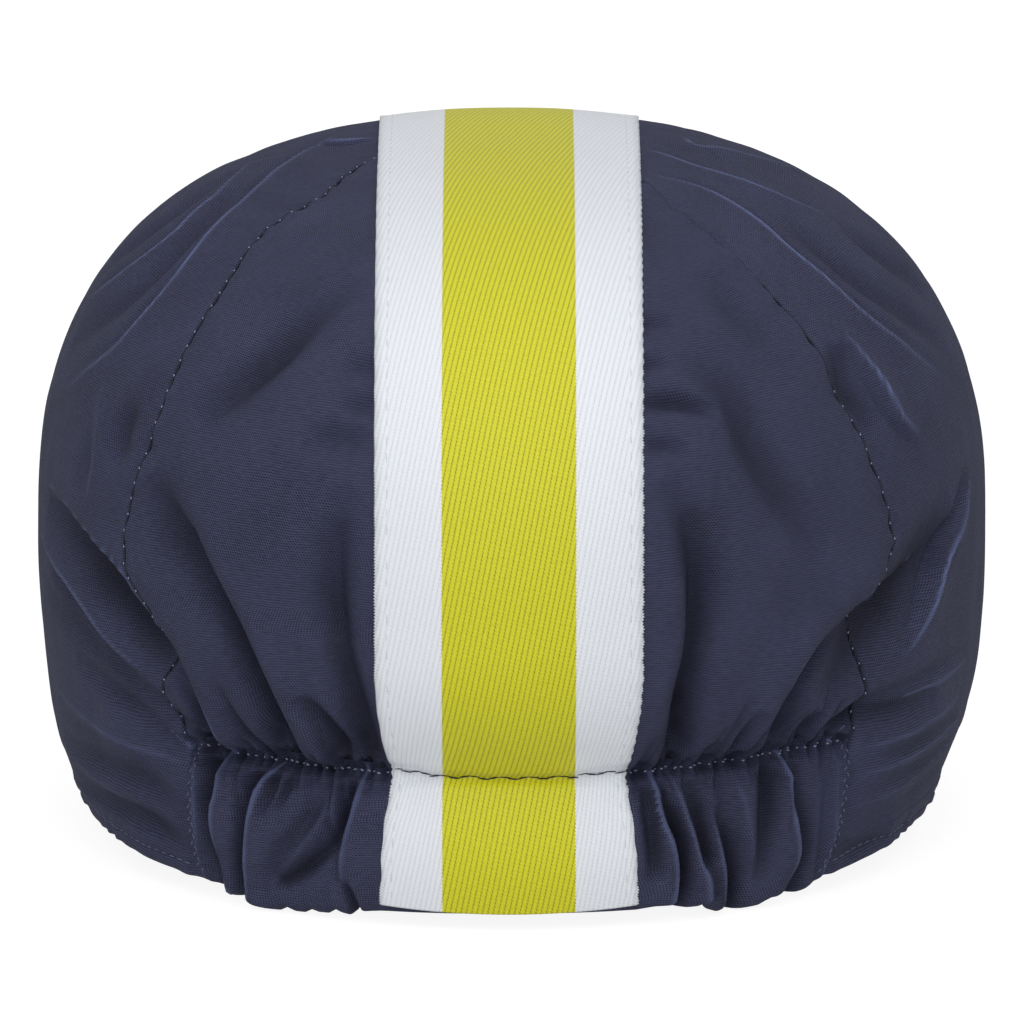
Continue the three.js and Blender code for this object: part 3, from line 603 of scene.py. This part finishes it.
# On the right its flecks and then its stitches are lost towards the top, at these shares of the crown's height.
for hand, side_name, flecks_up_to, stitches_up_to in ((-1, "left", 1, 1), (1, "right", 0.74, 0.88)):
    z = height_rows(CASING_TOP + 1, np.linspace(0, 1, 400))
    seam = crown_cloth(hand * seam_azimuth(z, hand), z, np.full(len(z), 2.0))[0]
    places, heading = paces(seam, pitch=3.2)
    shown = (np.abs(places[:, 0]) > TAPE_WIDTH / 2 + 0.8) & (places[:, 2] < flecks_up_to * CROWN_HEIGHT)
    places -= 0.05 * crown_normal(places)
    sew(f"seam_flecks_{side_name}", places[shown], heading[shown], length=0.5, width=0.34, thread=pale_thread)
    places, heading = paces(seam[1:], pitch=3.2)
    between = (places[1:] + places[:-1]) / 2
    shown = (np.abs(between[:, 0]) > TAPE_WIDTH / 2 + 0.8) & (between[:, 2] < stitches_up_to * CROWN_HEIGHT)
    between -= 0.2 * crown_normal(between)
    # These near-black stitches are partly painted shade: they darken the seam's groove.
    sew(f"seam_stitching_and_shade_{side_name}", between[shown], heading[1:][shown], length=2.8, width=0.46, thread=dark_thread)

    azimuth = np.linspace(seam_azimuth(0, hand) + 0.02, np.pi - 0.24, 900)
    z = hem_height(azimuth) + HEM_STITCHED_AT
    seam_away = (azimuth - seam_azimuth(z, hand)) * np.linalg.norm(crown_point(azimuth, z)[:, :2], axis=1)
    hem = crown_cloth(hand * azimuth, z, seam_away)[0]
    hem += (side_hem(azimuth, np.full(len(z), HEM_STITCHED_AT)) + 0.1)[:, None] * crown_normal(hem)
    sew(f"hem_stitching_{side_name}", *paces(hem, pitch=2.3), length=1.7, width=0.34, thread=navy_thread)

# Elastic casing.
# A tunnel of poplin folded over at the hem round a flat elastic, which draws it into fat upright lobes with sharp
# creases between them. It is held above by a line of stitches and at each end by a narrow zigzag.
CASING_HEM = [  # azimuth in degrees, height in millimetres
    (-50, 4.0), (-44.4, 3.1), (-41.2, 2.7), (-38.3, 1.6), (-36.3, 1.6), (-35, 0.6), (-33.3, 0.25), (-31.5, 0.2),
    (-30.5, 1.0), (-29.3, 0.3), (-28, 0.35), (-26.9, 1.2), (-25.8, 0.8), (-24.4, 0.9), (-23.3, 1.9), (-22.4, 1.3),
    (-21.3, 1.0), (-20.4, 2.4), (-19.4, 2.0), (-17, 2.5), (0, 3.0), (16.8, 2.7), (19.2, 3.2), (21.2, 3.3), (22.6, 2.4),
    (24.1, 2.1), (25.2, 2.2), (25.9, 2.9), (26.8, 1.4), (28.2, 0.6), (30.2, 0.2), (32.5, 0.2), (34.6, 0.4), (36.3, 1.6),
    (38.9, 1.3), (41.5, 1.2), (43.6, 1.6), (45.2, 2.8), (50, 3.9)]
GATHERS = [
    ([(-43.6, 0.0), (-43.2, 0.115), (-44.4, 0.19)], 0.9, 1.3, 0.6, "through"),
    ([(-39.6, -0.03), (-39.8, 0.055), (-40.8, 0.105), (-41.8, 0.154), (-42.4, 0.22)], -3.4, 1.6, 0, "through"),
    ([(-37.9, -0.03), (-38.0, 0.012), (-39, 0.04), (-39.4, 0.11), (-39.2, 0.165), (-39.7, 0.22)], 2.4, 2.0, -0.85,
     "through"),
    ([(-36.3, -0.03), (-36.0, 0.043), (-35.7, 0.086), (-35.1, 0.138), (-34.2, 0.20)], -4.2, 1.8, 0, "rooted"),
    ([(-34.7, -0.04), (-34.8, 0.015), (-34.2, 0.074), (-33.8, 0.119), (-33.1, 0.16), (-31.6, 0.21)], 2.6, 2.2, -0.85,
     "through"),
    ([(-37, 0.225), (-36.5, 0.19), (-36.9, 0.16)], 1.4, 1.2, 0, "rooted"),
    ([(-31.2, 0.22), (-31.4, 0.18), (-32.8, 0.14)], -3.0, 1.0, 0, "rooted"),
    ([(-29.0, 0.22), (-29.6, 0.18), (-31, 0.155)], -2.4, 1.0, 0, "rooted"),
    ([(-32.6, 0.0), (-30.3, 0.05), (-28.4, 0.076), (-26.4, 0.108), (-24.5, 0.14), (-23.1, 0.169), (-22.4, 0.21)],
     1.9, 1.4, 0, "soft"),
    ([(-33, 0.02), (-31.9, 0.055), (-29.9, 0.099), (-27.1, 0.136), (-24.7, 0.175), (-24.2, 0.21)], -1.4, 1.7, 0,
     "soft"),
    ([(-30, 0.05), (-26.9, 0.074), (-22.9, 0.113), (-21.1, 0.158), (-20.7, 0.20), (-20.7, 0.23)], -2.7, 1.6, 0,
     "rooted"),
    ([(-19.2, 0.22), (-19.2, 0.188), (-20, 0.152), (-20.8, 0.122), (-21.3, 0.085), (-21.4, 0.05)], 1.8, 1.4, 0.8,
     "rooted"),
    ([(-20.7, -0.03), (-20.8, 0.02), (-21.4, 0.065)], -3.2, 0.6, 0, "rooted"),
    ([(-20.0, -0.03), (-20.1, 0.02), (-21.0, 0.06)], -2.6, 0.5, 0, "rooted"),
    ([(18.9, 0.06), (18.2, 0.15), (17.8, 0.22)], -3.4, 1.6, 0, "soft"),
    ([(20.0, -0.03), (20.9, 0.03), (21.2, 0.07), (20.4, 0.116), (19.4, 0.145), (18.8, 0.181), (18.6, 0.22)], 2.2, 1.5,
     0.85, "through"),
    ([(22.5, -0.01), (22.5, 0.084), (21.7, 0.136), (20.3, 0.19)], -4.4, 2.0, 0, "soft"),
    ([(25.9, 0.03), (25.3, 0.065), (23.9, 0.119), (22.8, 0.16), (21.6, 0.22)], 1.9, 1.6, 0.75, "rooted"),
    ([(25.9, 0.09), (25.1, 0.153), (23.8, 0.22)], -3.4, 2.1, 0, "rooted"),
    ([(29.3, -0.03), (29.0, 0.02), (28.4, 0.053), (27.6, 0.10), (26.9, 0.15)], 2.2, 1.5, 0.85, "rooted"),
    ([(30.1, -0.03), (29.9, 0.04), (29.3, 0.097), (27.7, 0.165)], -4.5, 2.3, 0, "rooted"),
    ([(30.0, 0.22), (31, 0.166), (31.4, 0.13), (32.2, 0.092), (32.5, 0.04)], 1.4, 1.8, 0.5, "rooted"),
    ([(36.0, 0.24), (35.9, 0.207), (35, 0.16), (34.1, 0.104), (33.6, 0.04)], -4.6, 2.0, 0, "rooted"),
    ([(38.0, -0.03), (38.3, 0.03), (38.4, 0.08), (37.8, 0.118), (37.6, 0.154), (38.0, 0.22)], 2.4, 1.9, 0.85,
     "through"),
    ([(38.6, -0.03), (39.5, 0.03), (40.6, 0.076), (40.2, 0.129), (39.0, 0.19)], -4.8, 2.3, 0, "rooted"),
    ([(45.2, 0.0), (45.4, 0.115), (46.6, 0.19)], 0.9, 1.3, -0.6, "through"),
]


CASING_OUTSIDE, CASING_ROLLED = 0.62, 0.74  # shares of its length where the outside and the hem's roll end
ABOVE_LINE = 1.6  # how far the casing runs on above its stitch line


def level_out(azimuth):
    """Straight out from the oval of the head opening, level with the floor."""
    return unit(np.stack([np.sin(azimuth) / HALF_WIDTH, -np.cos(azimuth) / HALF_LENGTH, 0 * azimuth], -1))


def casing_place(u, v):
    """A place on the casing: u from its left end to its right, v down the outside, round the hem and up inside."""
    outside, rolled, round_hem = CASING_OUTSIDE, CASING_ROLLED, 1.5
    slack, upright_slack, fullness, elastic_depth, room_inside, stitch_pull = 0.35, 0.3, 0.9, 2.7, 1.9, 0.45
    down = np.clip(v / outside, 0, 1)
    turn = np.clip((v - outside) / (rolled - outside), 0, 1) * np.pi
    inward = np.clip((v - rolled) / (1 - rolled), 0, 1)
    top, hem = CASING_TOP + ABOVE_LINE, 2.0
    for _ in range(3):  # the hem's height depends on the azimuth, and the azimuth of the ends on the height
        z = np.where(v < rolled, top + (hem + round_hem - top) * down - round_hem * np.sin(turn),
                     hem + round_hem + (top - hem - round_hem) * inward)
        low_edge, high_edge = seam_azimuth(np.maximum(z, 0), -1), seam_azimuth(np.maximum(z, 0), 1)
        azimuth = -low_edge - 0.012 + u * (low_edge + high_edge + 0.024)
        hem = np.interp(np.degrees(azimuth), *np.array(CASING_HEM).T)
    p = crown_point(azimuth, np.clip(z, 0, CASING_TOP))
    p[:, 2] = z
    out = level_out(azimuth)
    beside = 1 - under_tape(p, z)
    below = CASING_TOP - z
    held = 0.15 + 0.85 * smooth(below, 0.2, 4.5)
    outer = np.where(v < rolled, (1 + np.cos(turn)) / 2, 0)
    gathered, painted_light = folded(p, GATHERS, out)
    pinched, pinch_shade = folded(p, PUCKERS, out)
    # Painted light on the casing: crest highlights at under half strength, and painted shade in its folds and pinches.
    painted_light = np.where(painted_light > 0, 0.45 * painted_light, np.minimum(1.8 * painted_light * held, 2 * pinch_shade))
    lift = (gathered - p) * held[:, None] + pinched - p
    lift += (upright_slack * ripple(p * [1, 1, 0.35], size=3.2, seed=21) * held
             + slack * ripple(p * [1, 1, 0.3], size=7, seed=5))[:, None] * out
    # The layer inside lies flat behind the elastic, pushed in only where a crease outside would come through it.
    backed = np.minimum((lift * out).sum(1) + room_inside, 0) * (1 - outer)
    lift = lift * (outer * beside)[:, None] + (backed * beside)[:, None] * out
    swell = fullness * np.sin(np.pi * np.clip(below / (CASING_TOP - hem), 0, 1)) ** 0.6 * beside * outer
    deep = -elastic_depth * (1 - np.cos(turn)) / 2
    end_away = np.minimum(u, 1 - u) * 150
    stitched = stitch_pull * np.exp(-(np.maximum(below, 0) / 0.9) ** 2) + 0.9 * smooth(below, 0, -1.2)
    stitched += 1.2 * smooth(end_away, 2.2, 0.6) + 1.3 * (1 - beside) * np.exp(-(below / 3) ** 2)
    return p + lift + (swell + deep - stitched * outer)[:, None] * out, painted_light * outer * beside


casing = cloth_sheet("elastic_casing_cloth", columns=420, rows=110, place=lambda u, v: casing_place(1 - u, v),
                     thickness=0)
casing.data.materials.append(poplin)
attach(casing, "root")
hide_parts("elastic_casing")

# The line of stitches along its top, and a zigzag up each end.
across_casing = np.linspace(0, 1, 900)
at_line = CASING_OUTSIDE * ABOVE_LINE / (CASING_TOP - 1.9)  # down the outside, as casing_place takes it
top_line = casing_place(across_casing, np.full(900, at_line))[0]
places, heading = paces(top_line, pitch=2.2)
shown = np.abs(places[:, 0]) > 22.5  # where the drawn-in tape ends
places = places + 0.35 * crown_normal(places)
sew("casing_stitching_top", places[shown], heading[shown], length=0.75, width=0.34, thread=pale_thread)
for end, side_name in ((0.013, "left"), (0.987, "right")):
    up_casing = np.linspace(0.05, 0.6, 200)
    end_line = casing_place(np.full(200, end), up_casing)[0]
    places, heading = paces(end_line, pitch=1.15)
    out = crown_normal(places)
    turned = np.where(np.arange(len(places)) % 2, 1.0, -1.0)[:, None]
    places = places + 0.3 * out + 0.35 * turned * np.cross(out, heading)
    sew(f"casing_stitching_{side_name}", places, heading + 0.6 * turned * np.cross(out, heading), length=1.0,
        width=0.3, thread=navy_thread)

# Tape.
# One woven twill tape 50 mm wide, lime between two white stripes, laid over the crown's middle seam from hem to hem
# and edge-stitched. The casing's gathering draws its white edges in at the stitch line behind.
TAPE_PROUD = 0.75  # above the crown's surface
LIME_WIDTH = 25.0
TAPE_ROW = 0.3  # from one row of its mesh to the next
EDGE_STITCHED_AT = 22.7  # from its middle


def tape_line():
    """The middle line of the tape as (y, z), from the back hem over the top to the front hem, row by row."""
    dome = WAIST_HEIGHT + (CROWN_HEIGHT - WAIST_HEIGHT) * np.sin(np.linspace(0, np.pi / 2, 200)) ** (2 / DOME_UP)
    lift = np.concatenate([np.linspace(3.4, CASING_TOP, 60), np.linspace(CASING_TOP, WAIST_HEIGHT, 90)[1:], dome[1:]])
    back = crown_point(0 * lift, lift)[:, 1:]
    ahead = np.concatenate([np.linspace(17, WAIST_HEIGHT, 90), dome[1:]])
    front = crown_point(0 * ahead + np.pi, ahead)[::-1, 1:]
    line = np.vstack([back[:-1], front])
    gone = gone_along(line)
    even = np.linspace(0, gone[-1], int(gone[-1] / TAPE_ROW))
    return np.stack([np.interp(even, gone, line[:, k]) for k in (0, 1)], -1)


middle_line = tape_line()
tape_rows = len(middle_line) - 1


def tape_place(u, v, proud=TAPE_PROUD):
    """A place on the tape: u from its left edge to its right, v from the back hem over the top to the front hem."""
    row = v * tape_rows
    place, behind, before = (np.stack([np.interp(row + step, np.arange(tape_rows + 1), middle_line[:, k])
                                       for k in (0, 1)], -1) for step in (0, -3.5, 3.5))
    slope = before - behind
    normal = unit(np.stack([0 * row, -slope[:, 1], slope[:, 0]], -1))
    at_back = np.where(place[:, 0] < 0, place[:, 1], 99)
    flat_x = (u - 0.5) * TAPE_WIDTH
    beyond = np.maximum(np.abs(flat_x) - LIME_WIDTH / 2, 0)
    drawn_in = (TAPE_WIDTH / 2 - tape_half_width(at_back)) / ((TAPE_WIDTH - LIME_WIDTH) / 2)
    x = flat_x - np.sign(flat_x) * beyond * drawn_in
    tooth = np.where(np.round(row) % 2, 0.17, -0.17) + np.where(u > 0.5, 0.1 * np.sin(row * 0.72), 0)
    x = x + np.sign(flat_x) * tooth * (np.abs(u - 0.5) > 0.4999)
    # Each place is moved in from above the tape's middle line until it meets the crown.
    near, far = np.full(len(x), -45.0), np.full(len(x), 6.0)
    middle = np.stack([x, place[:, 0], place[:, 1]], -1)
    for _ in range(22):
        half = (near + far) / 2
        inside = crown_level(middle + half[:, None] * normal) < 0
        near, far = np.where(inside, half, near), np.where(inside, far, half)
    p = middle + near[:, None] * normal
    out = crown_normal(p)
    from_line = at_back - CASING_TOP
    pucker = 0.5 * ripple(p * [1, 1, 0.4], size=5, seed=31) * np.exp(-(from_line / 9) ** 2)
    dip = 0.9 * np.exp(-(from_line / 1.3) ** 2)
    edge_dip = 0.12 * np.exp(-((np.abs(flat_x) - EDGE_STITCHED_AT) / 0.4) ** 2)
    wave = 0.15 * ripple(p, size=14, seed=12) + 0.1 * np.sin(row * 0.23) * smooth(np.abs(flat_x), 22.5, 25)
    return p + (proud + pucker + wave - dip - edge_dip)[:, None] * out


tape = cloth_sheet("striped_tape_woven", columns=30, rows=tape_rows, place=tape_place, thickness=0.6,
                   cut_width=TAPE_WIDTH)

# Twill-woven polyester tape: bright yarn in steep ribs a millimetre apart, with short dark gaps in the furrows between
# them where the floats end.
RIB_LEAN = -0.19  # millimetres across for each one up
FLOAT_LENGTH = 0.73
FLOAT_OFFSET = 2.32  # radians from one rib to the next
twill, tree, shader = new_material("striped_polyester_tape_twill_woven")
woven_place = add_node(tree, "UVMap", uv_map="UVMap")
across, up, _ = add_node(tree, "SeparateXYZ", _0=woven_place).outputs
rib = add_node(tree, "Math", operation="MULTIPLY_ADD", _0=up, _1=RIB_LEAN, _2=across)
rib_number = add_node(tree, "Math", operation="FLOOR", _0=rib)
in_rib = add_node(tree, "Math", operation="FRACT", _0=rib)
from_crest = add_node(tree, "Math", operation="PINGPONG", _1=1.0, _0=add_node(
    tree, "Math", operation="MULTIPLY_ADD", _0=in_rib, _1=2.0, _2=-1.0))
furrow = add_node(tree, "Math", operation="POWER", _0=from_crest, _1=3.5)
up_turn = add_node(tree, "Math", operation="MULTIPLY", _0=up, _1=2 * math.pi / FLOAT_LENGTH)
float_turn = add_node(tree, "Math", operation="MULTIPLY_ADD", _0=rib_number, _1=FLOAT_OFFSET, _2=up_turn)
float_end = add_node(tree, "Math", operation="MULTIPLY_ADD", _1=0.5, _2=0.5, _0=add_node(
    tree, "Math", operation="SINE", _0=float_turn))
gap = add_node(tree, "Math", operation="MULTIPLY", _0=furrow, _1=add_node(
    tree, "Math", operation="MULTIPLY_ADD", _0=float_end, _1=0.8, _2=0.2))
uneven = add_node(tree, "TexNoise", Vector=woven_place, Scale=1.3, Detail=2)
yarn = add_node(tree, "Math", operation="SUBTRACT", use_clamp=True, _1=gap, _0=add_node(
    tree, "Math", operation="MULTIPLY_ADD", _0=uneven, _1=0.35, _2=0.8))
# The stripes meet in a fine zigzag, float by float.
wander = add_node(tree, "Math", operation="MULTIPLY_ADD", _1=0.1, _2=-TAPE_WIDTH / 2, _0=add_node(
    tree, "Math", operation="SINE", _0=up_turn))
from_middle = add_node(tree, "Math", operation="ABSOLUTE", _0=add_node(
    tree, "Math", operation="ADD", _0=across, _1=wander))
is_white = add_node(tree, "Math", operation="MULTIPLY_ADD", use_clamp=True,
                    _0=from_middle, _1=8.0, _2=-8.0 * LIME_WIDTH / 2 + 0.5)
lime = add_node(tree, "Mix", data_type="RGBA", _0=yarn, _6=linear("#6f6a05"), _7=linear("#dedb18"))
white = add_node(tree, "Mix", data_type="RGBA", _0=yarn, _6=linear("#d6dce7"), _7=linear("#f1f4fa"))
stripes = add_node(tree, "Mix", data_type="RGBA", _0=is_white, _6=lime.outputs[2], _7=white.outputs[2])
relief = add_node(tree, "Bump", Strength=0.4, Distance=0.0003, Height=yarn)
set_sockets(tree, shader, Base_Color=stripes.outputs[2], Normal=relief, Roughness=0.55, Sheen_Weight=0.1)
tape.data.materials.append(twill)
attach(tape, "root")
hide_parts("tape")

# Its edges are sewn down in white thread, and a navy thread crosses it where the casing is stitched.
white_thread = thread_material("white_polyester_thread_twisted", "#c3c9d5", "#eceff4")
run = np.linspace(0.002, 0.998, 3000)
for share, side_name in ((0.046, "left"), (0.954, "right")):
    line = tape_place(np.full(3000, share), run, TAPE_PROUD + 0.05)
    sew(f"tape_stitching_{side_name}", *paces(line, pitch=3.4), length=2.3, width=0.3, thread=white_thread)
row_at_line = np.interp(CASING_TOP, middle_line[:300, 1], np.arange(300)) / tape_rows
cross_line = tape_place(np.linspace(0, 1, 300), np.full(300, row_at_line), TAPE_PROUD + 0.15)
cross_line[:, 2] += 0.25 * np.sin(np.linspace(0, 1, 300) * 57)
sew("casing_stitching_over_tape", *paces(cross_line, pitch=1.9), length=2.3, width=0.36, thread=dark_thread)

# Peak.
# A short soft peak: poplin sewn over a thin stiff board, curved down at its sides, with five rows of stitching that
# follow its edge. It is sewn under the front hem.
PEAK_THICKNESS = 2.4
PEAK_LENGTH, PEAK_CORNER = 58.0, 7  # seam to edge, at the middle and at each corner
PEAK_SEAM = math.radians(52)  # azimuth from the front to each end of its seam
PEAK_FAN = math.radians(34)  # the way its corners point, from straight ahead
PEAK_EDGE_LIFT = 9  # the middle of its edge above its sides
PEAK_ARCH = 2
PEAK_TUCKED = 1.2  # under the front hem
PEAK_ROWS = [4.0, 11.0, 18.0, 25.0, 32.0]  # of stitching, in from the edge
ROW_DEPTH = 0.22
EDGE_PACE = 0.8  # below 1 the mesh's rows crowd towards the edge


def peak_reach(u):
    """The peak's length out from its seam, from one rounded end at u = -1 to the other at 1."""
    u = np.minimum(np.abs(u), 1)
    return PEAK_TUCKED + PEAK_CORNER * (1 - u ** 14) + (PEAK_LENGTH - PEAK_CORNER) * np.sqrt(1 - u ** 2.6)


def peak_place(u, v):
    u = 2 * u - 1
    around = v * 2 * np.pi
    azimuth = np.pi - u * PEAK_SEAM
    root = crown_point(azimuth, hem_height(azimuth))
    root -= PEAK_TUCKED * level_out(azimuth)
    fan = u * PEAK_FAN
    length = peak_reach(u)
    # Once round the section: out along the top, round the edge and back along the underside.
    gone = (0.5 - 0.5 * np.cos(around)) ** EDGE_PACE
    top = np.sin(around) >= 0
    edge = PEAK_THICKNESS + PEAK_EDGE_LIFT * (1 - np.minimum(1, np.abs(u) * 1.3) ** 2)
    z = (root[:, 2] - 0.3) * (1 - gone) + edge * gone + PEAK_ARCH * np.sin(np.pi * gone) * (1 - u * u)
    half = PEAK_THICKNESS / 2 * np.clip(1 - gone ** 30, 0, 1) ** 0.5
    from_edge = (1 - gone) * length
    furrows = sum(ROW_DEPTH * np.exp(-((from_edge - row) / 0.5) ** 2) for row in PEAK_ROWS)
    half = half - furrows * smooth(half, 0.4, 1.1)
    z = z - PEAK_THICKNESS / 2 + np.where(top, half, -half)
    return np.stack([root[:, 0] + np.sin(fan) * length * gone, root[:, 1] + np.cos(fan) * length * gone, z], -1)


peak = cloth_sheet("peak_covered", columns=120, rows=240, place=peak_place, thickness=0)
peak.data.materials.append(poplin)
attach(peak, "root")
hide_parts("peak")
for number, row in enumerate(PEAK_ROWS, 1):
    u = np.linspace(0.03, 0.97, 700)
    gone = 1 - row / peak_reach(2 * u - 1)
    u, gone = u[gone > 0.12], gone[gone > 0.12]
    line = peak_place(u, np.arccos(1 - 2 * gone ** (1 / EDGE_PACE)) / 2 / np.pi)
    sew(f"peak_stitching_{number}", *paces(line, pitch=2.6), length=1.9, width=0.34, thread=navy_thread)
